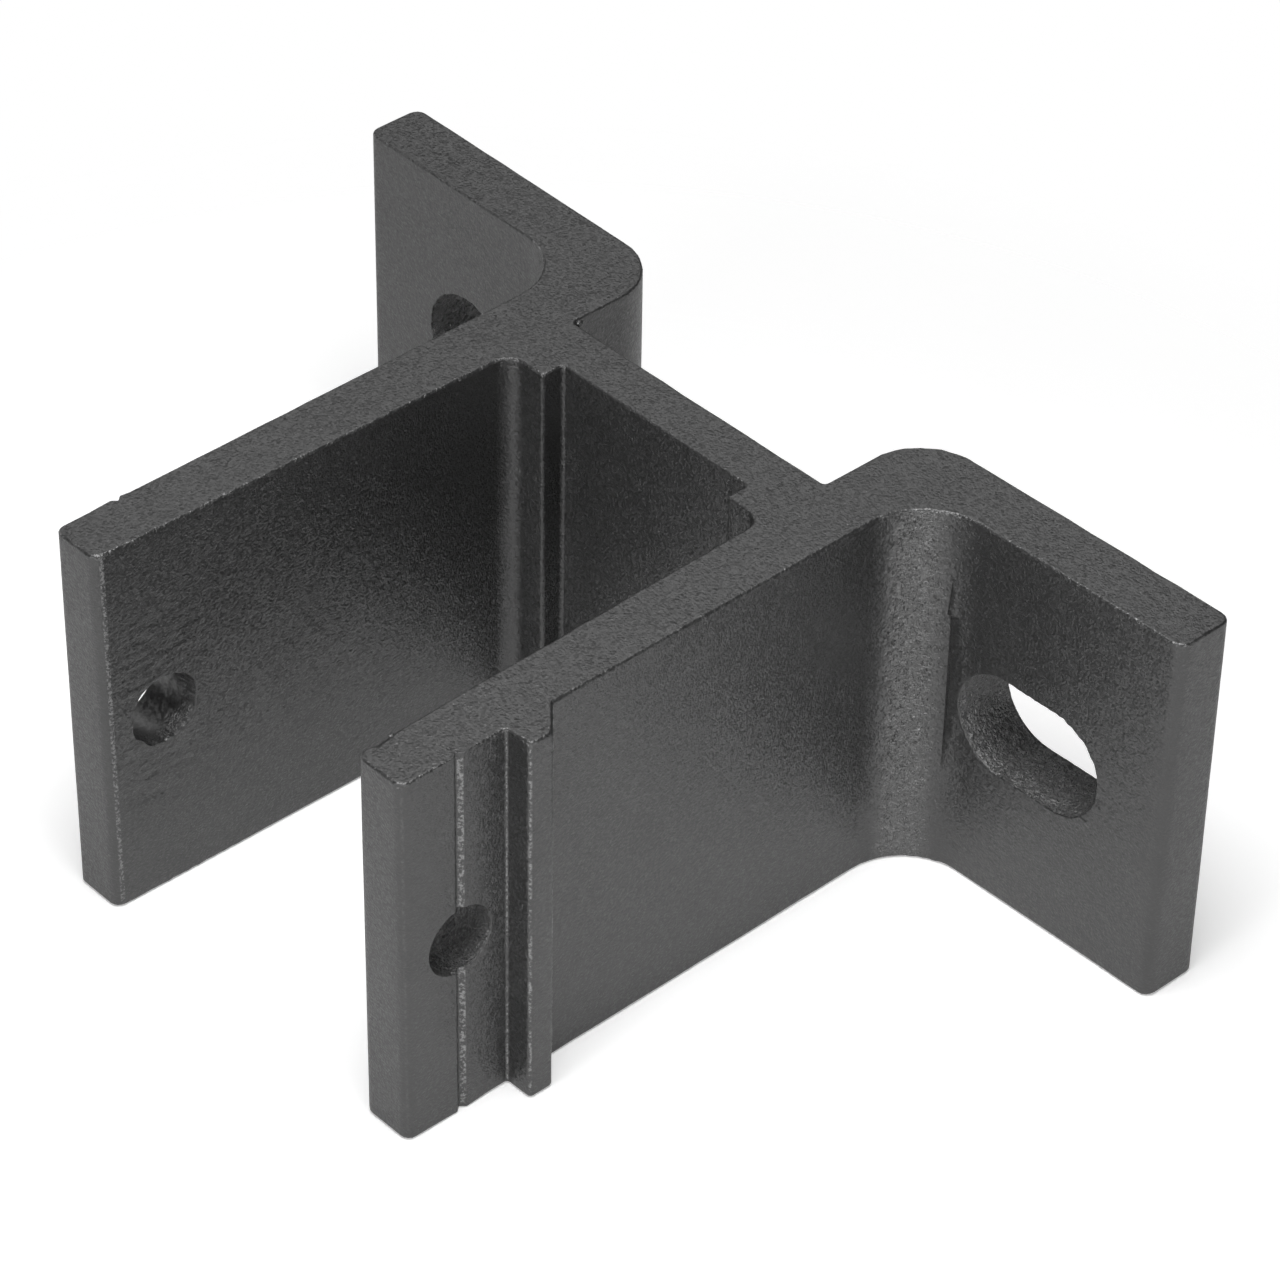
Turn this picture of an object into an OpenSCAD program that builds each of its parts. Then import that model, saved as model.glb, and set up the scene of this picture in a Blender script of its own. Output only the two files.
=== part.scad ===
// Awning bracket: one length of aluminium extrusion, sawn, drilled and coated.
// Two arms straddle the awning arm and carry its pivot bolt. Two flanges with
// slots screw to the wall. X runs across the bracket, Y from the open end of
// the arms towards the wall, Z along the extrusion.

/* [Body] */
// Length of extrusion, from sawn end to sawn end
length = 38.1; // [24:0.1:80]
// Width over the outer faces of the arms
body_w = 43.9; // [36:0.1:60]
// Depth from the open end of the arms to the wall
depth = 64; // [60:0.1:90]
// Thickness of each arm at its open end
arm_tip_t = 5.5; // [3:0.1:6.2]
// Thickness of each arm at the web, and of each leg behind it
arm_root_t = 6.3; // [5:0.1:8]
// Radius on the corners at the open end of each arm
arm_corner_r = 1; // [0.3:0.1:1.4]
// Distance from the open end of the arms to the back of the web
web_back = 51.8; // [40:0.1:55]
// Thickness of the web between the two ledges
web_t = 4.95; // [3:0.05:8]

/* [Corner ledges] */
// Width of each ledge between the web's shallow recess and its arm
ledge_w = 4.25; // [3:0.05:6]
// How far the ledges stand in front of the middle of the web
ledge_h = 2.3; // [1:0.1:4]
// Radius between each ledge and its arm
ledge_fillet_r = 1.7; // [0.5:0.1:2.4]
// Radius in the small corners of the section
small_r = 0.4; // [0.2:0.1:0.8]

/* [Flanges] */
// How far each flange reaches past the outer face of its arm
flange_w = 28.5; // [25:0.1:45]
// Thickness of each flange
flange_t = 6.05; // [4:0.05:7]
// Lean of each flange towards the wall, in degrees
flange_lean = 1; // [0:0.1:3]
// Radius between each leg and the front face of its flange
front_fillet_r = 6.5; // [3:0.1:7]
// Radius on the back corner where each leg turns into its flange
back_corner_r = 6.1; // [3:0.1:6.5]
// Radius on the two corners at the free end of each flange
flange_corner_r = 1.1; // [0.3:0.1:1.8]

/* [Rib on the right arm] */
// Distance from the open end of the arm to the front of the rib
rib_front = 10.9; // [10:0.1:20]
// How far the rib stands out from the arm
rib_h = 2.8; // [1:0.1:5]
// Length of the rib's flat crest
rib_crest = 2.4; // [1.4:0.1:5]
// Length of the ramp behind the crest
rib_ramp = 2.5; // [1:0.1:6]
// Radius on the two edges of the crest
rib_edge_r = 0.5; // [0.2:0.1:0.6]

/* [Pivot hole] */
// Diameter of the pivot hole through both arms
pivot_d = 6.6; // [4:0.1:8]
// Distance from the open end of the arms to the pivot hole
pivot_y = 5.95; // [5:0.05:6.4]
// How far below mid-length the pivot hole and the right slot lie
hole_drop = 0.35; // [-3:0.05:3]
// Width of the drill guide groove on the outside of each arm
groove_w = 1; // [0.4:0.1:2]
// Depth of the drill guide groove
groove_depth = 0.42; // [0.1:0.02:1]
// How much nearer the web the left arm's groove lies
left_groove_shift = 0.5; // [0:0.1:1]

/* [Wall slots] */
// Width of each slot
slot_w = 10.9; // [5:0.1:12.5]
// Length of each slot, end to end
slot_l = 16.4; // [14:0.1:18]
// Distance from the right arm's outer face to the middle of its slot
right_slot_x = 13.4; // [12.5:0.05:16]
// Distance from the left arm's outer face to the middle of its slot
left_slot_x = 11.95; // [11.5:0.05:16]
// How far above mid-length the left slot lies
left_slot_rise = 2.5; // [-3:0.05:4]

/* [Cutter nick in the right front fillet] */
// Place of the nick's straight edge, as a share of the fillet's radius
nick_place = 0.62; // [0.55:0.01:0.7]
// Height where the long and the short mark meet, as a share of the length
nick_level = 0.72; // [0.6:0.01:0.8]
// Height of the long mark below that, as a share of the length
nick_long = 0.43; // [0.3:0.01:0.5]
// Height of the short mark above it, as a share of the length
nick_short = 0.135; // [0.08:0.005:0.16]
// Depth of the long mark
nick_long_depth = 0.3; // [0.1:0.02:0.4]
// Depth of the short mark
nick_short_depth = 0.2; // [0.1:0.02:0.3]
// How far the short mark is set over towards the arm
nick_step = 0.3; // [0:0.05:0.5]
// Tilt of the short mark, in degrees
nick_tilt = 4; // [0:0.5:8]

/* [Hidden] */
$fn = 96;
// How far corner pieces reach past the sides of their corner
margin = 0.5;
// How far a rounding's circle reaches past its sides, to cross them cleanly
overshoot = 0.002;
half_w = body_w / 2;
half_span = half_w + flange_w;
leg_x = half_w - arm_root_t;
web_front = web_back - web_t;
ledge_y = web_front - ledge_h;
rib_end = rib_front + rib_crest + rib_ramp;
pivot_z = length / 2 - hole_drop;
left_slot_z = length / 2 + left_slot_rise;
// Where a mark of the nick is deepest, as a share of its height
nick_deepest = 1 / 3;
// Facets on the nick's wide disc cutter
nick_fn = 720;

// Centre of the rounding at the back of the flange's free end
end_c = [half_span - flange_corner_r, depth - flange_corner_r];

// X of the arm's tapered inner face at a distance y from the open end
function inner_x(y) = half_w - arm_tip_t - (arm_root_t - arm_tip_t) * y / web_front;

// Y of the flange's back and front faces at x
function back_y(x) = end_c.y + flange_corner_r / cos(flange_lean)
    + (x - end_c.x) * tan(flange_lean);
function front_y(x) = back_y(x) - flange_t / cos(flange_lean);

// Corners of the right half of the section, sharp, from the web's middle round
// the arm and the flange and back to the web: each is [x, y]
ledge_in = [inner_x(ledge_y), ledge_y];
ledge_edge = ledge_in - [ledge_w, 0];
recess_in = [ledge_edge.x, web_front];
tip_in = [inner_x(0), 0];
tip_out = [half_w, 0];
front_in = [half_w, front_y(half_w)];
end_front = [half_span, front_y(half_span)];
end_back = [half_span, back_y(half_span)];
back_out = [leg_x, back_y(leg_x)];
web_in = [leg_x, web_back];
rib_low = [half_w + rib_h, rib_front];
rib_high = [half_w + rib_h, rib_front + rib_crest];

function unit(v) = v / norm(v);
// Half the angle at corner v between points a and b
function half_angle(v, a, b) = acos(unit(a - v) * unit(b - v)) / 2;
// Centre of a rounding of radius r in that corner
function centre(v, a, b, r) = v
    + unit(unit(a - v) + unit(b - v)) * r / sin(half_angle(v, a, b));

// What lies between corner v and its rounding of radius r, and a margin past
// the two sides, so that it adds to or cuts the outline cleanly
module corner_piece(v, a, b, r) {
    c = centre(v, a, b, r);
    along = r / tan(half_angle(v, a, b));
    foot_a = v + unit(a - v) * along;
    foot_b = v + unit(b - v) * along;
    past_a = foot_a + unit(foot_a - c) * margin;
    past_b = foot_b + unit(foot_b - c) * margin;
    past_v = v + unit(v - c) * margin / sin(half_angle(v, a, b));
    difference() {
        polygon([c, past_a, past_v, past_b]);
        translate(c) circle(r + overshoot);
    }
}

module half_outline() {
    polygon([
        [-margin, web_front], recess_in, ledge_edge, ledge_in, tip_in, tip_out,
        front_in, end_front, end_back, back_out, web_in, [-margin, web_back]
    ]);
}

// What fills the inside corners
module inside_corners() {
    corner_piece(recess_in, [0, web_front], ledge_edge, small_r);
    corner_piece(ledge_in, ledge_edge, tip_in, ledge_fillet_r);
    corner_piece(front_in, tip_out, end_front, front_fillet_r);
    corner_piece(web_in, back_out, [0, web_back], small_r);
}

// What comes off the outside corners
module outside_corners() {
    corner_piece(ledge_edge, recess_in, ledge_in, small_r);
    corner_piece(tip_in, ledge_in, tip_out, arm_corner_r);
    corner_piece(tip_out, tip_in, front_in, arm_corner_r);
    corner_piece(end_front, front_in, end_back, flange_corner_r);
    corner_piece(end_back, end_front, back_out, flange_corner_r);
    corner_piece(back_out, end_back, web_in, back_corner_r);
}

// The V groove that guides the drill, at a distance y from the open end
module groove(y) {
    polygon([
        [half_w - groove_depth, y],
        [half_w + groove_depth, y - groove_w],
        [half_w + groove_depth, y + groove_w]
    ]);
}

module half_body(groove_y) {
    difference() {
        union() {
            linear_extrude(length) half_outline();
            linear_extrude(length) inside_corners();
        }
        linear_extrude(length) outside_corners();
        linear_extrude(length) groove(groove_y);
    }
}

// The rib that stands on the outside of the right arm only
module rib() {
    root = half_w - arm_tip_t / 2;
    difference() {
        polygon([
            [root, rib_front], rib_low, rib_high, [half_w, rib_end], [root, rib_end]
        ]);
        corner_piece(rib_low, [half_w, rib_front], rib_high, rib_edge_r);
        corner_piece(rib_high, rib_low, [half_w, rib_end], rib_edge_r);
    }
}

module extrusion() {
    half_body(pivot_y);
    mirror([1, 0, 0]) half_body(pivot_y + left_groove_shift);
    linear_extrude(length) rib();
}

module pivot_hole() {
    translate([0, pivot_y, pivot_z])
        rotate([0, 90, 0])
            cylinder(d = pivot_d, h = body_w + 2 * rib_h, center = true);
}

// A slot with round ends through one flange, square to the wall
module wall_slot(x, z) {
    straight = slot_l - slot_w;
    reach = depth - web_back;
    translate([x, depth, z])
        rotate([90, 0, 0]) {
            for (side = [-1, 1])
                translate([side * straight / 2, 0, 0])
                    cylinder(d = slot_w, h = 2 * reach, center = true);
            cube([straight, slot_w, 2 * reach], center = true);
        }
}

// One mark of a wide disc cutter across the right front fillet. It starts
// square at the height where the marks meet, runs up or down to its tip and
// has its straight edge at x there.
module cutter_mark(x, up, height, bite, tilt) {
    fillet_c = centre(front_in, tip_out, end_front, front_fillet_r);
    off_centre = fillet_c.x - x;
    skin_y = fillet_c.y + sqrt(pow(front_fillet_r, 2) - pow(off_centre, 2));
    to_tip = height * (1 - nick_deepest);
    disc_r = pow(to_tip, 2) / (2 * bite);
    translate([x, skin_y + bite, length * nick_level])
        rotate([0, tilt, 0])
            intersection() {
                translate([0, -front_fillet_r / 2, up ? 0 : -2 * height])
                    cube([off_centre, front_fillet_r, 2 * height]);
                translate([0, -disc_r, (up ? 1 : -1) * height * nick_deepest])
                    rotate([0, 90, 0])
                        cylinder(r = disc_r, h = 2 * off_centre, center = true, $fn = nick_fn);
            }
}

module cutter_nick() {
    edge_x = half_w + front_fillet_r * nick_place;
    cutter_mark(edge_x, false, length * nick_long, nick_long_depth, 0);
    cutter_mark(edge_x - nick_step, true, length * nick_short, nick_short_depth, nick_tilt);
}

module bracket() {
    color("#3b3b3c")
        translate([0, -depth / 2, 0])
            difference() {
                extrusion();
                pivot_hole();
                wall_slot(half_w + right_slot_x, pivot_z);
                mirror([1, 0, 0]) wall_slot(half_w + left_slot_x, left_slot_z);
                cutter_nick();
            }
}

bracket();
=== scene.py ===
"""Looks of the awning bracket: one sawn length of aluminium extrusion under a dark powder coat."""
import math

import bpy
from mathutils import Matrix, Vector, noise


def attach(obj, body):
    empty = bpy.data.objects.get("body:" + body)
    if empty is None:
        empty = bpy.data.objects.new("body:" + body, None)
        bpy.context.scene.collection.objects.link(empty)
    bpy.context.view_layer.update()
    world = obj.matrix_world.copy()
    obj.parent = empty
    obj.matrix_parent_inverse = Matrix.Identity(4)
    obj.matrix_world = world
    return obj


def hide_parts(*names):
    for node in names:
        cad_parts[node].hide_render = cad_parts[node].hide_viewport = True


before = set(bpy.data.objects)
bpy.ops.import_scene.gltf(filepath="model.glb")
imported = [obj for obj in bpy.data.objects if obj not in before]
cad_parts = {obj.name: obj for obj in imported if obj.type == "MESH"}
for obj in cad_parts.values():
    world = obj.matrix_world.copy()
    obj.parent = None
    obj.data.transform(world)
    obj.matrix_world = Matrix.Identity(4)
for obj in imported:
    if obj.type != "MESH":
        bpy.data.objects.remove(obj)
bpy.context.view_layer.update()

# Section, in mm. Y is counted from the open end of the arms, as on the CAD part's section.
LENGTH, DEPTH, HALF_W, HALF_SPAN = 38.1, 64.0, 21.95, 50.45
TIP_T, ROOT_T, TIP_R = 5.5, 6.3, 1.0
WEB_BACK, WEB_FRONT = 51.8, 46.85
LEDGE_W, LEDGE_Y, LEDGE_R, SMALL_R = 4.25, 44.55, 1.7, 0.4
FLANGE_T, LEAN, FRONT_R, BACK_R, END_R = 6.05, math.radians(1), 6.5, 6.1, 1.1
RIB_FRONT, RIB_CREST, RIB_RAMP, RIB_H, RIB_R = 10.9, 2.4, 2.5, 2.8, 0.5
GROOVE_W, GROOVE_D, LEFT_GROOVE_SHIFT = 1.0, 0.42, 0.5

# Holes, slots and nick, in mm
HOLE_Y, HOLE_Z, HOLE_R = 5.95, 18.7, 3.3
# Inside the coat, the slots are a little narrower and lower than they were cut
SLOT_R, SLOT_HALF = 5.25, 2.75
RIGHT_SLOT, LEFT_SLOT = (35.2, 18.55), (33.75, 21.45)
NICK_X, NICK_Z = HALF_W + 0.62 * FRONT_R, 0.72 * LENGTH
NICK_STEP, NICK_TILT = 0.3, math.radians(4)
# Height and depth of the nick's two marks
LONG_MARK, SHORT_MARK = (0.44 * LENGTH, 0.39), (0.14 * LENGTH, 0.22)

# What the coat does to the sharp section, in mm: how deep it sags, waves, ripples and roughens
COAT_SAG, COAT_WAVE, RIPPLE, SLOT_ROUGH = 0.02, 0.02, 0.085, 0.17
# How far the ripples reach from the open end of the left arm
RIPPLE_REACH = 15
# Radii of the sawn ends' edges, the rims of the openings, the rib's inside corners and the groove
END_EDGE_R, RIM_R, INSIDE_R = 0.27, 0.12, 0.3
GROOVE_EDGE_R, GROOVE_ROOT_R = 0.12, 0.08
# Where the upper sawn edge is knocked off: x, y, how far round about and how deep
CHIPS = [(16.9, 2.4, 1.5, 0.45), (-16.6, 0.7, 0.8, 0.22), (24.6, 11.2, 0.7, 0.12)]
# Where the coat is thin and a highlight is painted along the extrusion: x, y, how far round about and
# how much
THIN_COAT_AND_HIGHLIGHT_LINES = [
    (HALF_W - 0.2, HOLE_Y + 0.27, 0.3, 0.65),  # the groove's far side
    (HALF_W, RIB_FRONT, 0.15, 0.55),  # the foot of the rib
    (HALF_W + RIB_H, RIB_FRONT, 0.33, 0.6),  # the rib's front edge
    (HALF_W, RIB_FRONT + RIB_CREST + RIB_RAMP, 0.12, 0.4),  # the end of the rib's ramp
    (HALF_W, 0, 0.5, 0.3),  # the right arm's outer corner
    (TIP_T - HALF_W - 0.03, 0.74, 0.24, 0.42),  # the left arm's inner corner
]
# Beads of coat on the upper sawn edge: x, y and radius
BEADS = [(16.45, 3.75, 0.28), (-15.5, 52.4, 0.35), (-16.6, 1.2, 0.14)]
# Their length over their width, and how far below the sawn end their tops are
BEAD_STRETCH, BEAD_DROP = 1.3, 0.05

# How far the drill tore the left hole's inner rim, in mm: all round, more to one side, and where that is
TEAR, TEAR_ASIDE, TEAR_TOWARDS = 0.14, 0.42, math.radians(55)

# Fineness of the mesh, in mm: along the section and between its rings, on and off the ripples
FINE_STEP, COARSE_STEP = 0.4, 2.4
FINE_RING, COARSE_RING = 0.17, 1.0
# The same round a corner, with and without the nick, and the number of steps over a sawn edge
NICKED_STEP, ROUND_STEP, EDGE_STEPS = 0.3, 0.45, 4
# Fineness of the cutters: steps round a slot's end, along its side and through it, then of a hole
SLOT_ARC_STEPS, SLOT_SIDE_STEPS, SLOT_ROWS = 104, 34, 34
HOLE_STEPS, HOLE_ROWS = 110, 20
# The same of the nick's cutters, and sides and rows of a bead
MARK_STEPS, MARK_SLICES = 32, 4
BEAD_SIDES, BEAD_ROWS = 12, 6
# Edges that turn more than this stay sharp in the shading
SHARP_ANGLE = math.radians(38)

# The coat: size of its grain, its orange peel and its clouds, in mm, and height of the peel, in m
GRAIN_SIZE, PEEL_SIZE, CLOUD_SIZE = 0.23, 0.67, 7.0
PEEL_HEIGHT = 0.00007
# Its darkest and lightest grey and roughness, and the same of the patches on the cut walls
GREYS, ROUGHNESSES, WALL_GREYS = (0.013, 0.019), (0.32, 0.44), (0.03, 0.08)
# How much lighter a line of thin coat and painted highlight is, how much lighter the fillet's painted
# highlight is, and how much smoother both are
THIN_COAT_AND_HIGHLIGHT_LIFT, FILLET_HIGHLIGHT_LIFT, SMOOTHER = 0.3, 0.035, 0.14

# The floor gives way to the background between these distances from the object's middle, in m
FLOOR_FADE = (0.075, 0.115)
# The level direction away from the camera, where the coat's gloss finds the white sheet
BEHIND = (-0.731, 0.682, 0)
# Strength of the world as a light
WORLD_LIGHT = 0.01

# The photograph's viewpoint: azimuth, elevation and roll in degrees, place in m and lens in mm
CAMERA_TURNS, CAMERA_PLACE, LENS = (46.731, 38.670, 1.046), (0.254312, -0.225646, 0.294806), 144.27


def inner_x(y):
    """X of the right arm's tapered inner face."""
    return HALF_W - TIP_T - (ROOT_T - TIP_T) * y / WEB_FRONT


def back_y(x):
    """Y of the right flange's back."""
    return DEPTH - END_R + END_R / math.cos(LEAN) + (x - HALF_SPAN + END_R) * math.tan(LEAN)


def front_y(x):
    return back_y(x) - FLANGE_T / math.cos(LEAN)


def unit(v):
    return v / v.length


def smooth(a, b, v):
    """From 0 at a to 1 at b."""
    t = max(0.0, min(1.0, (v - a) / (b - a)))
    return t * t * (3 - 2 * t)


def window(v, a, b, soft):
    """1 between a and b, 0 outside, turning over a distance soft either side."""
    return smooth(a - soft, a + soft, v) * (1 - smooth(b - soft, b + soft, v))


def grain(x, y, z, size, seed):
    """Smooth noise from -1 to 1 with features of that size in mm along each axis."""
    return noise.noise(Vector((x / size[0] + seed, y / size[1] - seed, z / size[2] + 2 * seed)))


def rounding(corner, a, b, r, step):
    """Points of the rounding of radius r in a corner between points a and b."""
    to_a, to_b = unit(a - corner), unit(b - corner)
    half = to_a.angle(to_b) / 2
    centre = corner + unit(to_a + to_b) * (r / math.sin(half))
    start = corner + to_a * (r / math.tan(half)) - centre
    end = corner + to_b * (r / math.tan(half)) - centre
    first = math.atan2(start.y, start.x)
    turn = (math.atan2(end.y, end.x) - first + math.pi) % (2 * math.pi) - math.pi
    count = max(4, round(abs(turn) * r / step))
    angles = [first + turn * i / count for i in range(count + 1)]
    return [centre + r * Vector((math.cos(a), math.sin(a))) for a in angles]


def half_corners(right):
    """Corners and radii of one half of the section, from the web's front round to its back."""
    ledge_x = inner_x(LEDGE_Y)
    leg_x = HALF_W - ROOT_T
    groove_y = HOLE_Y if right else HOLE_Y + LEFT_GROOVE_SHIFT
    corners = [(ledge_x - LEDGE_W, WEB_FRONT, SMALL_R), (ledge_x - LEDGE_W, LEDGE_Y, SMALL_R),
               (ledge_x, LEDGE_Y, LEDGE_R), (inner_x(0), 0, TIP_R), (HALF_W, 0, TIP_R),
               (HALF_W, groove_y - GROOVE_W / 2, GROOVE_EDGE_R),
               (HALF_W - GROOVE_D, groove_y, GROOVE_ROOT_R),
               (HALF_W, groove_y + GROOVE_W / 2, GROOVE_EDGE_R)]
    if right:
        crest_end = RIB_FRONT + RIB_CREST
        corners += [(HALF_W, RIB_FRONT, INSIDE_R), (HALF_W + RIB_H, RIB_FRONT, RIB_R),
                    (HALF_W + RIB_H, crest_end, RIB_R), (HALF_W, crest_end + RIB_RAMP, INSIDE_R)]
    return corners + [(HALF_W, front_y(HALF_W), FRONT_R), (HALF_SPAN, front_y(HALF_SPAN), END_R),
                      (HALF_SPAN, back_y(HALF_SPAN), END_R), (leg_x, back_y(leg_x), BACK_R),
                      (leg_x, WEB_BACK, SMALL_R)]


def on_rippled_face(p):
    """Whether a point is on the left arm's inner face, near its open end."""
    return p.x < 0 and abs(-p.x - inner_x(p.y)) < 0.3 and 0.5 < p.y < RIPPLE_REACH


def spaced(a, b):
    """Points between a and b, close together where the coat is rippled."""
    out = []
    p = a
    step = FINE_STEP if on_rippled_face(p) else COARSE_STEP
    while (b - p).length > step * 1.3:
        p = p + unit(b - p) * step
        out.append(p)
        step = FINE_STEP if on_rippled_face(p) else COARSE_STEP
    return out


def section():
    """Points round the whole section, anticlockwise."""
    corners = half_corners(True) + [(-x, y, r) for x, y, r in reversed(half_corners(False))]
    points = []
    for i, (x, y, r) in enumerate(corners):
        before, after = (Vector(corners[(i + d) % len(corners)][:2]) for d in (-1, 1))
        nicked = r == FRONT_R and x > 0
        turn = rounding(Vector((x, y)), before, after, r, NICKED_STEP if nicked else ROUND_STEP)
        if points:
            points += spaced(points[-1], turn[0])
        points += turn
    points += spaced(points[-1], points[0])
    return points


def outward(points):
    """The direction out of the metal at each point."""
    out = []
    for i, p in enumerate(points):
        v = unit(unit(p - points[i - 1]) + unit(points[(i + 1) % len(points)] - p))
        out.append(Vector((v.y, -v.x)))
    return out


def sag(p, z):
    """How far the coated face lies inside the section."""
    depth = COAT_SAG + COAT_WAVE * grain(p.x, p.y, z, (9, 9, 9), 3.1)
    if on_rippled_face(p):
        near_hole = window(p.y, 1.6, 10, 1.2) * window(z, 9, 31, 3)
        ripple = 0.5 + grain(p.x, p.y + 0.3 * z, z, (9, 1.9, 0.5), 1.3)
        depth += RIPPLE * near_hole * ripple * (0.6 + 0.4 * grain(p.x, p.y, z, (5, 5, 5), 7.7))
    return max(0.0, depth)


def end_edge(p, top):
    """Radius of the edge between a side and a sawn end."""
    r = END_EDGE_R * (1 + 0.5 * grain(p.x, p.y, LENGTH * top, (0.7, 0.7, 0.7), 5.5))
    r += 0.1 * max(0.0, grain(p.x, p.y, LENGTH * top, (2.6, 2.6, 2.6), 9.2) - 0.25)
    if top:
        for x, y, reach, deep in CHIPS:
            r += deep * (1 - smooth(0.5 * reach, reach, math.hypot(p.x - x, p.y - y)))
    from_groove = abs(p.y - HOLE_Y - (LEFT_GROOVE_SHIFT if p.x < 0 else 0))
    if abs(p.x) > HALF_W - GROOVE_D - 0.1 and from_groove < 1.5:
        r *= 0.22 + 0.78 * smooth(0.6, 1.4, from_groove)
    return r


def levels():
    """Heights of the rings between the rounded ends, close together where the coat is rippled."""
    out = [1.0]
    while out[-1] < LENGTH - 1.6:
        out.append(out[-1] + (FINE_RING if 9 < out[-1] < 30 else COARSE_RING))
    return out


def new_object(name, verts, faces):
    """A mesh object from vertices in mm on the section's own axes."""
    mesh = bpy.data.meshes.new(name)
    mesh.from_pydata([(x / 1000, (y - DEPTH / 2) / 1000, z / 1000) for x, y, z in verts], [], faces)
    obj = bpy.data.objects.new(name, mesh)
    bpy.context.scene.collection.objects.link(obj)
    return obj


def skin(name, rows):
    """A closed tube through rows of vertices, with a flat face on the first and the last."""
    n = len(rows[0])
    verts = [v for row in rows for v in row]
    faces = [(k * n + i, k * n + (i + 1) % n, (k + 1) * n + (i + 1) % n, (k + 1) * n + i)
             for k in range(len(rows) - 1) for i in range(n)]
    faces += [tuple(reversed(range(n))), tuple(range(len(verts) - n, len(verts)))]
    return new_object(name, verts, faces)


def extrusion():
    """The whole coated length, with rounded and slightly chipped edges at its sawn ends."""
    points = section()
    out = outward(points)
    quarter = [math.pi / 2 * k / EDGE_STEPS for k in range(EDGE_STEPS + 1)]

    def end_row(angle, top):
        row = []
        for p, v in zip(points, out):
            r = end_edge(p, top)
            p = p - v * (sag(p, LENGTH * top) + r * (1 - math.sin(angle)))
            rise = r * (1 - math.cos(angle))
            row.append((p.x, p.y, LENGTH - rise if top else rise))
        return row

    def side_row(z):
        faced = [p - v * sag(p, z) for p, v in zip(points, out)]
        return [(p.x, p.y, z) for p in faced]

    rows = [end_row(a, False) for a in quarter]
    rows += [side_row(z) for z in levels()]
    rows += [end_row(a, True) for a in reversed(quarter)]
    return skin("coated_bracket", rows)


def rim(depth):
    """How far a rounded rim stands back from its wall, at a depth below the face."""
    up = 1 - max(0.0, min(1.0, depth / RIM_R))
    return RIM_R * (1 - math.sqrt(1 - up * up))


# Depths of a cutter's rows at each face, from outside it to the foot of the rim's rounding
RIM_ROWS = [-0.6] + [RIM_R * share for share in (0.04, 0.15, 0.35, 0.6, 1.0)]
FRONT_C = Vector((HALF_W + FRONT_R, front_y(HALF_W + FRONT_R) - FRONT_R))


def skin_y(x):
    """Y of the right flange's front, or of its fillet."""
    if x < FRONT_C.x:
        return FRONT_C.y + math.sqrt(FRONT_R ** 2 - min(FRONT_R, FRONT_C.x - x) ** 2)
    return front_y(x)


def slot_contour():
    """Points round a slot, each with its outward direction."""
    out = []
    for side, start in ((1, -math.pi / 2), (-1, math.pi / 2)):
        for k in range(SLOT_ARC_STEPS + 1):
            a = start + math.pi * k / SLOT_ARC_STEPS
            v = Vector((math.cos(a), math.sin(a)))
            out.append((Vector((side * SLOT_HALF, 0)) + v * SLOT_R, v))
        for k in range(1, SLOT_SIDE_STEPS):
            x = side * SLOT_HALF * (1 - 2 * k / SLOT_SIDE_STEPS)
            out.append((Vector((x, side * SLOT_R)), Vector((0, side))))
    return out


def slot_cutter(name, side, centre):
    """What one slot takes away, torn and ragged. Side is 1 for the right flange and -1 for the left."""
    def vert(p, v, face, depth):
        x = centre[0] + p.x
        front, back = skin_y(x), back_y(x)
        if face == "front":
            y = front + depth
        elif face == "back":
            y = back - depth
        else:
            y = front + RIM_R + (back - front - 2 * RIM_R) * depth
        to_face = min(y - front, back - y)
        smoother_back = 1 - smooth(0, 0.6, -v.x) * (1 - smooth(0.3, 1.6, back - y))
        rough = grain(side * x, y, p.y, (0.36, 0.36, 0.36), 2.2)
        rough += 0.4 * grain(side * x, y, p.y, (1.5, 1.2, 1.5), 6.1)
        push = rim(to_face) + SLOT_ROUGH * rough * smooth(0, 0.3, to_face) * smoother_back
        ragged = smooth(0.1, 0.7, v.x + 0.4 * v.y) if side > 0 else 0.5
        push += (0.04 + 0.14 * ragged) * grain(side * x, y, p.y, (0.5, 0.8, 0.5), 8.8)
        if side > 0:
            push -= 0.25 * ragged
        elif v.y > 0.5:
            push -= 0.4 * window(x, 32.9, 35.4, 0.6)
        return side * (x + v.x * push), y, centre[1] + p.y + v.y * push

    stations = [("front", d) for d in RIM_ROWS]
    stations += [("wall", k / SLOT_ROWS) for k in range(1, SLOT_ROWS)]
    stations += [("back", d) for d in reversed(RIM_ROWS)]
    contour = slot_contour()
    return skin(name, [[vert(p, v, face, d) for p, v in contour] for face, d in stations])


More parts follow.
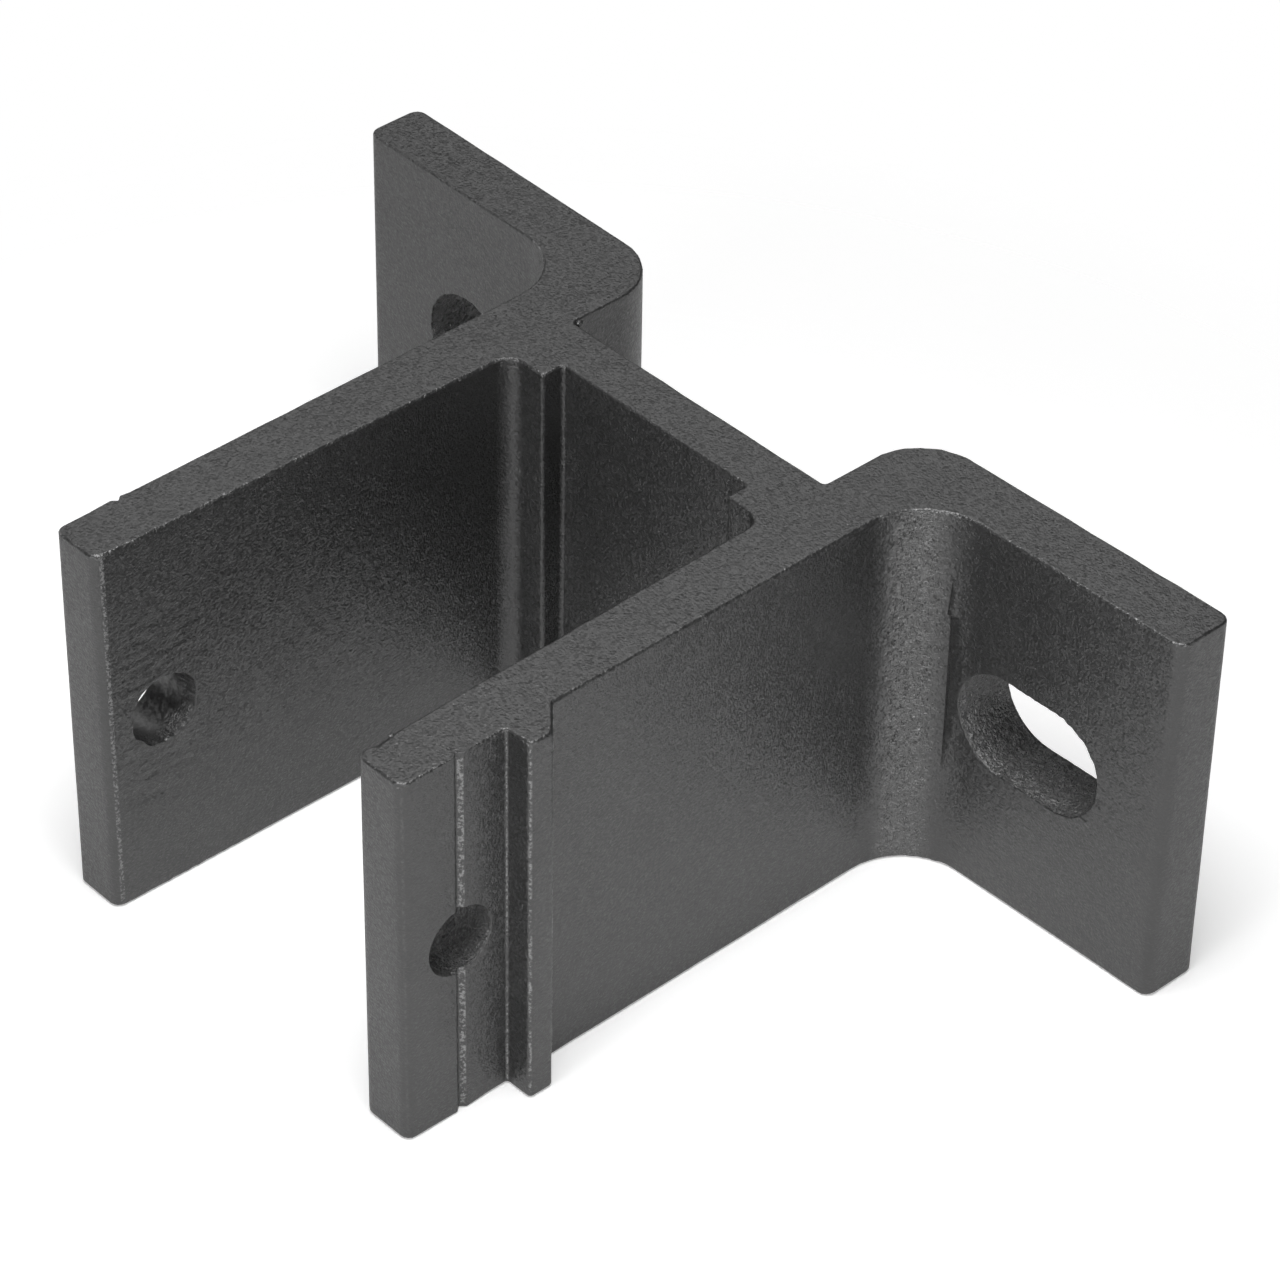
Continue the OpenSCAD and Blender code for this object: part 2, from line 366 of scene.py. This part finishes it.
def hole_cutter(name, side):
    """What the drill takes from one arm. On the left it tore the inner rim out, mostly upwards."""
    def vert(a, face, depth):
        out_y, out_z = math.cos(a), math.sin(a)
        inner = inner_x(HOLE_Y + out_y * HOLE_R)
        if face == "outer":
            x = HALF_W - depth
        elif face == "inner":
            x = inner + depth
        else:
            x = HALF_W - RIM_R - (HALF_W - inner - 2 * RIM_R) * depth
        r = HOLE_R + rim(min(HALF_W - x, x - inner))
        r += (0.03 if side > 0 else 0.01) * grain(2 * out_y, 2 * out_z, x, (1, 1, 2), side)
        if side < 0:
            torn = min(1.0, (HALF_W - x) / TIP_T)
            r += torn ** 2 * (TEAR + TEAR_ASIDE * math.cos(a - TEAR_TOWARDS))
            r += 0.24 * torn ** 6 * grain(out_y, out_z, 0, (0.3, 0.3, 1), 4)
        y, z = HOLE_Y + out_y * r, HOLE_Z + out_z * r
        rough = 0.06 * smooth(0.3, 0.9, out_y + 0.3 * out_z) if side < 0 else 0.1
        off_rim = smooth(-0.1, 0.5, min(HALF_W - x, x - inner))
        r += rough * grain(x, y, z, (0.4, 0.4, 0.4), 4.4 + side) * off_rim
        return side * x, HOLE_Y + out_y * r, HOLE_Z + out_z * r

    stations = [("outer", d) for d in RIM_ROWS]
    stations += [("wall", k / HOLE_ROWS) for k in range(1, HOLE_ROWS)]
    stations += [("inner", d) for d in reversed(RIM_ROWS)]
    angles = [2 * math.pi * k / HOLE_STEPS for k in range(HOLE_STEPS)]
    return skin(name, [[vert(a, face, d) for a in angles] for face, d in stations])


def mark_cutter(name, x, up, mark, tilt):
    """What a disc cutter took from the right front fillet in one mark. Mark is its height and depth."""
    height, bite = mark
    sign = 1 if up else -1
    disc_r = (height * 2 / 3) ** 2 / (2 * bite)
    reach = 1.25 * height
    heights = [reach * k / MARK_STEPS for k in range(MARK_STEPS + 1)]
    outline = [(math.sqrt(disc_r ** 2 - (h - height / 3) ** 2) - disc_r, sign * h) for h in heights]
    outline += [(-FRONT_R / 2, sign * reach), (-FRONT_R / 2, 0)]
    turn = Matrix.Rotation(tilt, 3, "Y")
    base = Vector((x, skin_y(x) + bite, NICK_Z))
    slices = [(FRONT_C.x - x) * k / MARK_SLICES for k in range(MARK_SLICES + 1)]
    return skin(name, [[tuple(base + turn @ Vector((across, y, z))) for y, z in outline]
                       for across in slices])


def outwards(obj):
    """Turns a closed mesh's faces outwards."""
    corner = obj.data.vertices[0].co
    volume = sum(f.area * (f.center - corner).dot(f.normal) for f in obj.data.polygons)
    if volume < 0:
        obj.data.flip_normals()
    return obj


def cut(obj, cutters):
    """Takes the cutters out of an object and deletes them."""
    for cutter in cutters:
        step = obj.modifiers.new(cutter.name, "BOOLEAN")
        step.operation = "DIFFERENCE"
        step.solver = "EXACT"
        step.object = outwards(cutter)
    evaluated = obj.evaluated_get(bpy.context.evaluated_depsgraph_get())
    done = bpy.data.meshes.new_from_object(evaluated)
    obj.modifiers.clear()
    obj.data = done
    for cutter in cutters:
        bpy.data.objects.remove(cutter)


def on_cut_wall(v):
    """How rough the wall of an opening is at a point: 1 in the slots, below 0 deep in the left hole."""
    x, y, z = abs(v.x) * 1000, v.y * 1000 + DEPTH / 2, v.z * 1000
    if y > WEB_BACK:
        slot_x, slot_z = RIGHT_SLOT if v.x > 0 else LEFT_SLOT
        reach = math.hypot(max(0, abs(x - slot_x) - SLOT_HALF), z - slot_z)
        return reach < SLOT_R + 0.3 and skin_y(x) + RIM_R < y < back_y(x) - RIM_R
    if math.hypot(y - HOLE_Y, z - HOLE_Z) > HOLE_R + 1:
        return 0.0
    if not inner_x(y) + RIM_R < x < HALF_W - RIM_R:
        return 0.0
    return 0.8 if v.x > 0 else 0.35 - 0.7 * smooth(0.5, 2.5, x - inner_x(y))


def on_fillet(v):
    """1 on the part of a front fillet next to its arm, where the powder is coarse and a highlight is
    painted, 0 on the nick.
    """
    x, y = abs(v.x) * 1000 - FRONT_C.x, v.y * 1000 + DEPTH / 2 - FRONT_C.y
    if abs(math.hypot(x, y) - FRONT_R) > 0.07 or x > 0 or y < 0:
        return 0.0
    turned = math.degrees(math.atan2(y, -x))
    return smooth(12, 30, turned) * (1 - smooth(44, 70, turned))


def beads():
    """Small beads that the coat left on the upper sawn edge, a little longer than they are wide."""
    verts, faces = [], []
    for x, y, r in BEADS:
        z = LENGTH - BEAD_DROP - r
        top, bottom = len(verts), len(verts) + 1
        verts += [(x, y, z + r), (x, y, z - r)]
        rings = []
        for row in range(1, BEAD_ROWS):
            down = math.pi * row / BEAD_ROWS
            across = r * math.sin(down)
            rings.append(range(len(verts), len(verts) + BEAD_SIDES))
            for k in range(BEAD_SIDES):
                a = 2 * math.pi * k / BEAD_SIDES
                verts.append((x + across * math.cos(a), y + BEAD_STRETCH * across * math.sin(a),
                              z + r * math.cos(down)))
        for k in range(BEAD_SIDES):
            after = (k + 1) % BEAD_SIDES
            faces += [(top, rings[0][k], rings[0][after]), (rings[-1][k], bottom, rings[-1][after])]
            faces += [(up[k], low[k], low[after], up[after]) for up, low in zip(rings, rings[1:])]
    return new_object("coat_beads", verts, faces)


def mark_rough_and_highlit(obj):
    """Stores where the coat is rough and where the fillets' highlight is painted, for its material."""
    mesh = obj.data
    wall = mesh.attributes.new("cut_wall", "FLOAT", "POINT")
    for v in mesh.vertices:
        wall.data[v.index].value = on_cut_wall(v.co)
    fillet = mesh.attributes.new("fillet", "FLOAT", "CORNER")
    for face in mesh.polygons:
        if on_fillet(face.center):
            for corner in face.loop_indices:
                v = mesh.vertices[mesh.loops[corner].vertex_index]
                fillet.data[corner].value = on_fillet(v.co)


bracket = outwards(extrusion())
cut(bracket, [
    slot_cutter("right_slot", 1, RIGHT_SLOT), slot_cutter("left_slot", -1, LEFT_SLOT),
    hole_cutter("right_hole", 1), hole_cutter("left_hole", -1),
    mark_cutter("long_mark", NICK_X, False, LONG_MARK, 0),
    mark_cutter("short_mark", NICK_X - NICK_STEP, True, SHORT_MARK, NICK_TILT),
])
mark_rough_and_highlit(bracket)
pieces = [bracket, beads()]


class Nodes:
    """Adds nodes to an emptied tree. An input is a value or another node's output."""

    def __init__(self, tree):
        self.tree = tree
        tree.nodes.clear()

    def add(self, kind, inputs=None, output=0, **settings):
        node = self.tree.nodes.new("ShaderNode" + kind)
        for key, value in settings.items():
            setattr(node, key, value)
        for key, value in (inputs or {}).items():
            if isinstance(value, bpy.types.NodeSocket):
                self.tree.links.new(value, node.inputs[key])
            else:
                node.inputs[key].default_value = value
        if output is None or not node.outputs:
            return node.outputs
        return node.outputs[output]

    def math(self, operation, *values):
        return self.add("Math", dict(enumerate(values)), operation=operation)

    def vector(self, operation, *values):
        return self.add("VectorMath", dict(enumerate(values)), operation=operation)

    def noise(self, place, size_mm, detail=1.0):
        return self.add("TexNoise", {"Vector": place, "Scale": 1000 / size_mm, "Detail": detail,
                                     "Roughness": 0.6}, "Fac")

    def between(self, value, low, high, first, last):
        """Maps value from low..high to first..last, and holds it there outside."""
        return self.add("MapRange", {"Value": value, "From Min": low, "From Max": high,
                                     "To Min": first, "To Max": last})


def thin_coat_and_highlight_edges(n, place):
    """Light, broken lines along the section's edges, short of the sawn ends: partly thin coat, partly
    painted highlight.
    """
    axes = n.add("SeparateXYZ", {0: place}, None)
    flat = n.add("CombineXYZ", {"X": axes["X"], "Y": axes["Y"]})
    total = 0.0
    for x, y, reach, strength in THIN_COAT_AND_HIGHLIGHT_LINES:
        line = (x / 1000, (y - DEPTH / 2) / 1000, 0)
        distance = n.add("VectorMath", {0: flat, 1: line}, "Value", operation="DISTANCE")
        band = n.between(distance, 0.7 * reach / 1000, reach / 1000, strength, 0.0)
        total = n.math("MAXIMUM", total, band)
    from_middle = n.math("ABSOLUTE", n.math("SUBTRACT", axes["Z"], LENGTH / 2000))
    along = n.between(from_middle, LENGTH / 2000 - 0.0006, LENGTH / 2000 - 0.0003, 1.0, 0.0)
    broken = n.between(n.noise(place, 0.28, 2.0), 0.48, 0.58, 0.0, 1.0)
    return n.math("MULTIPLY", total, n.math("MULTIPLY", along, broken))


def coat_shade(n, place, wall, fillet, thin_coat_and_highlight):
    """Dark grey in faint clouds, patchy on the walls, lighter where the coat is thin along the edges,
    and with painted highlights on those edges and on the fillets.
    """
    clouds = n.between(n.noise(place, CLOUD_SIZE, 3.0), 0.3, 0.7, *GREYS)
    patches = n.between(n.noise(place, 0.27, 2.0), 0.4, 0.6, *WALL_GREYS)
    shade = n.math("ADD", clouds, n.math("MULTIPLY", n.math("POWER", wall, 2.0), patches))
    # Lighter along the listed edge lines: partly thin coat, partly painted highlight
    shade = n.math("MULTIPLY_ADD", thin_coat_and_highlight, THIN_COAT_AND_HIGHLIGHT_LIFT, shade)
    # Lighter on the fillets next to the arms: a painted highlight
    return n.math("MULTIPLY_ADD", fillet, FILLET_HIGHLIGHT_LIFT, shade)


def coat_facing(n, place, fine, wall, fillet):
    """The shading normal: a fine orange peel, and grains that each tilt their own way."""
    peel = n.math("MULTIPLY_ADD", n.noise(place, PEEL_SIZE), 0.4, fine)
    depth = n.math("MULTIPLY_ADD", fillet, 1.2, n.math("MULTIPLY_ADD", wall, 2.5, 1.0))
    height = n.math("MULTIPLY", peel, depth)
    bumped = n.add("Bump", {"Strength": 1.0, "Distance": PEEL_HEIGHT, "Height": height})
    tilt = n.math("MULTIPLY_ADD", fillet, 0.5, n.math("MULTIPLY_ADD", wall, 0.25, 0.22))
    cells = n.add("TexVoronoi", {"Vector": place, "Scale": 3900.0}, "Color")
    aside = n.vector("SUBTRACT", cells, (0.5, 0.5, 0.5))
    tilted = n.add("VectorMath", {0: aside, "Scale": tilt}, operation="SCALE")
    return n.vector("NORMALIZE", n.vector("ADD", tilted, bumped))


def coat():
    """Dark grey powder coat: fine grained, rough in the slots and on the fillets, thin on the edges,
    with painted highlights on the edges and fillets.
    """
    mat = bpy.data.materials.new("powder_coat")
    mat.use_nodes = True
    n = Nodes(mat.node_tree)
    place = n.add("TexCoord", output="Object")
    wall = n.add("Attribute", output="Fac", attribute_name="cut_wall")
    fillet = n.add("Attribute", output="Fac", attribute_name="fillet")
    thin_coat_and_highlight = thin_coat_and_highlight_edges(n, place)
    fine = n.noise(place, GRAIN_SIZE)
    rough = n.between(fine, 0.3, 0.7, *ROUGHNESSES)
    surface = n.add("BsdfPrincipled", {
        "Base Color": coat_shade(n, place, wall, fillet, thin_coat_and_highlight),
        "Roughness": n.math("MULTIPLY_ADD", n.math("MAXIMUM", thin_coat_and_highlight, fillet), -SMOOTHER, rough),
        "Specular IOR Level": 1.0,
        "Normal": coat_facing(n, place, fine, wall, fillet),
    })
    n.add("OutputMaterial", {"Surface": surface})
    return mat


finish = coat()
for piece in pieces:
    piece.data.materials.clear()
    piece.data.materials.append(finish)
    for face in piece.data.polygons:
        face.use_smooth = True
    piece.data.set_sharp_from_angle(angle=SHARP_ANGLE)
    piece.modifiers.new("face_normals", "WEIGHTED_NORMAL").keep_sharp = True
    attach(piece, "root")
    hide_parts("bracket")


def pale_floor():
    """Matt and pale. Far from the object it gives way to the white background, for the camera only."""
    mesh = bpy.data.meshes.new("floor")
    mesh.from_pydata([(-3, -3, 0), (3, -3, 0), (3, 3, 0), (-3, 3, 0)], [], [(0, 1, 2, 3)])
    obj = bpy.data.objects.new("floor", mesh)
    obj.location.z = -0.0001
    bpy.context.scene.collection.objects.link(obj)
    mat = bpy.data.materials.new("floor")
    mat.use_nodes = True
    n = Nodes(mat.node_tree)
    reach = n.add("VectorMath", {0: n.add("TexCoord", output="Object")}, "Value", operation="LENGTH")
    far = n.between(reach, *FLOOR_FADE, 0.0, 1.0)
    camera_ray = n.add("LightPath", output="Is Camera Ray")
    fade = n.math("MULTIPLY", far, camera_ray)
    pale = n.add("BsdfDiffuse", {"Color": (0.9, 0.9, 0.9, 1)})
    lift = n.add("Emission", {"Strength": n.math("MULTIPLY", camera_ray, 0.3)})
    near = n.add("AddShader", {0: pale, 1: lift})
    surface = n.add("MixShader", {0: fade, 1: near, 2: n.add("BsdfTransparent")})
    n.add("OutputMaterial", {"Surface": surface})
    mesh.materials.append(mat)
    return obj


def softbox(name, azimuth, elevation, size, power, distance=0.6):
    """A round lamp that looks at the object, in metres and watts. Azimuth 0 is in front of the arms."""
    data = bpy.data.lights.new(name, "AREA")
    data.shape = "DISK"
    data.size = size
    data.energy = power
    lamp = bpy.data.objects.new(name, data)
    a, e = math.radians(azimuth), math.radians(elevation)
    away = Vector((math.sin(a) * math.cos(e), -math.cos(a) * math.cos(e), math.sin(e)))
    lamp.location = away * distance + Vector((0, 0, 0.02))
    lamp.rotation_euler = away.to_track_quat("Z", "Y").to_euler()
    bpy.context.scene.collection.objects.link(lamp)
    return lamp


# Each lamp: azimuth, elevation, size and power
pale_floor()
softbox("overhead", 46, 78, 0.2, 1.08, distance=0.35)
softbox("low_front", 46, 5, 0.3, 0.8)
softbox("low_right", 85, 8, 0.3, 1.1)
softbox("low_left", 8, 12, 0.2, 1.2)
softbox("left", -75, 15, 0.3, 0.6)
softbox("rear", -133, 53, 0.5, 0.32)


def studio_world():
    """White behind everything for the camera, and nearly dark as a light.

    The coat's gloss shows the white sheet behind the object, which darkens towards the horizon
    and overhead.
    """
    world = bpy.data.worlds.new("studio")
    world.use_nodes = True
    w = Nodes(world.node_tree)
    ray = w.add("LightPath", output=None)
    toward = w.add("TexCoord", output="Generated")
    behind = w.add("VectorMath", {0: toward, 1: BEHIND}, "Value", operation="DOT_PRODUCT")
    rise = w.add("SeparateXYZ", {0: toward}, "Z")
    across = w.between(behind, 0.3, 0.6, 0.0, 1.0)
    upwards = w.between(rise, 0.5, 0.62, 0.1, 1.0)
    sheet = w.math("MULTIPLY", across, upwards)
    seen = w.math("MAXIMUM", ray["Is Camera Ray"], ray["Is Transmission Ray"])
    seen = w.math("MAXIMUM", seen, w.math("MULTIPLY", ray["Is Glossy Ray"], sheet))
    dim = w.add("Background", {"Strength": WORLD_LIGHT})
    white = w.add("Background", {"Color": (1, 1, 1, 1), "Strength": 1.0})
    w.add("OutputWorld", {"Surface": w.add("MixShader", {0: seen, 1: dim, 2: white})})
    return world


def photo_camera():
    """A camera that looks at the object as the photograph does."""
    azimuth, elevation, roll = (math.radians(v) for v in CAMERA_TURNS)
    right = Vector((math.cos(azimuth), math.sin(azimuth), 0))
    back = Vector((math.sin(azimuth) * math.cos(elevation), -math.cos(azimuth) * math.cos(elevation),
                   math.sin(elevation)))
    turn = Matrix((right, back.cross(right), back)).transposed() @ Matrix.Rotation(roll, 3, "Z")
    data = bpy.data.cameras.new("camera")
    data.lens = LENS
    data.clip_start = 0.01
    camera = bpy.data.objects.new("camera", data)
    camera.matrix_world = Matrix.Translation(CAMERA_PLACE) @ turn.to_4x4()
    bpy.context.scene.collection.objects.link(camera)
    return camera


bpy.context.scene.world = studio_world()
bpy.context.scene.camera = photo_camera()
bpy.context.scene.view_settings.view_transform = "Standard"
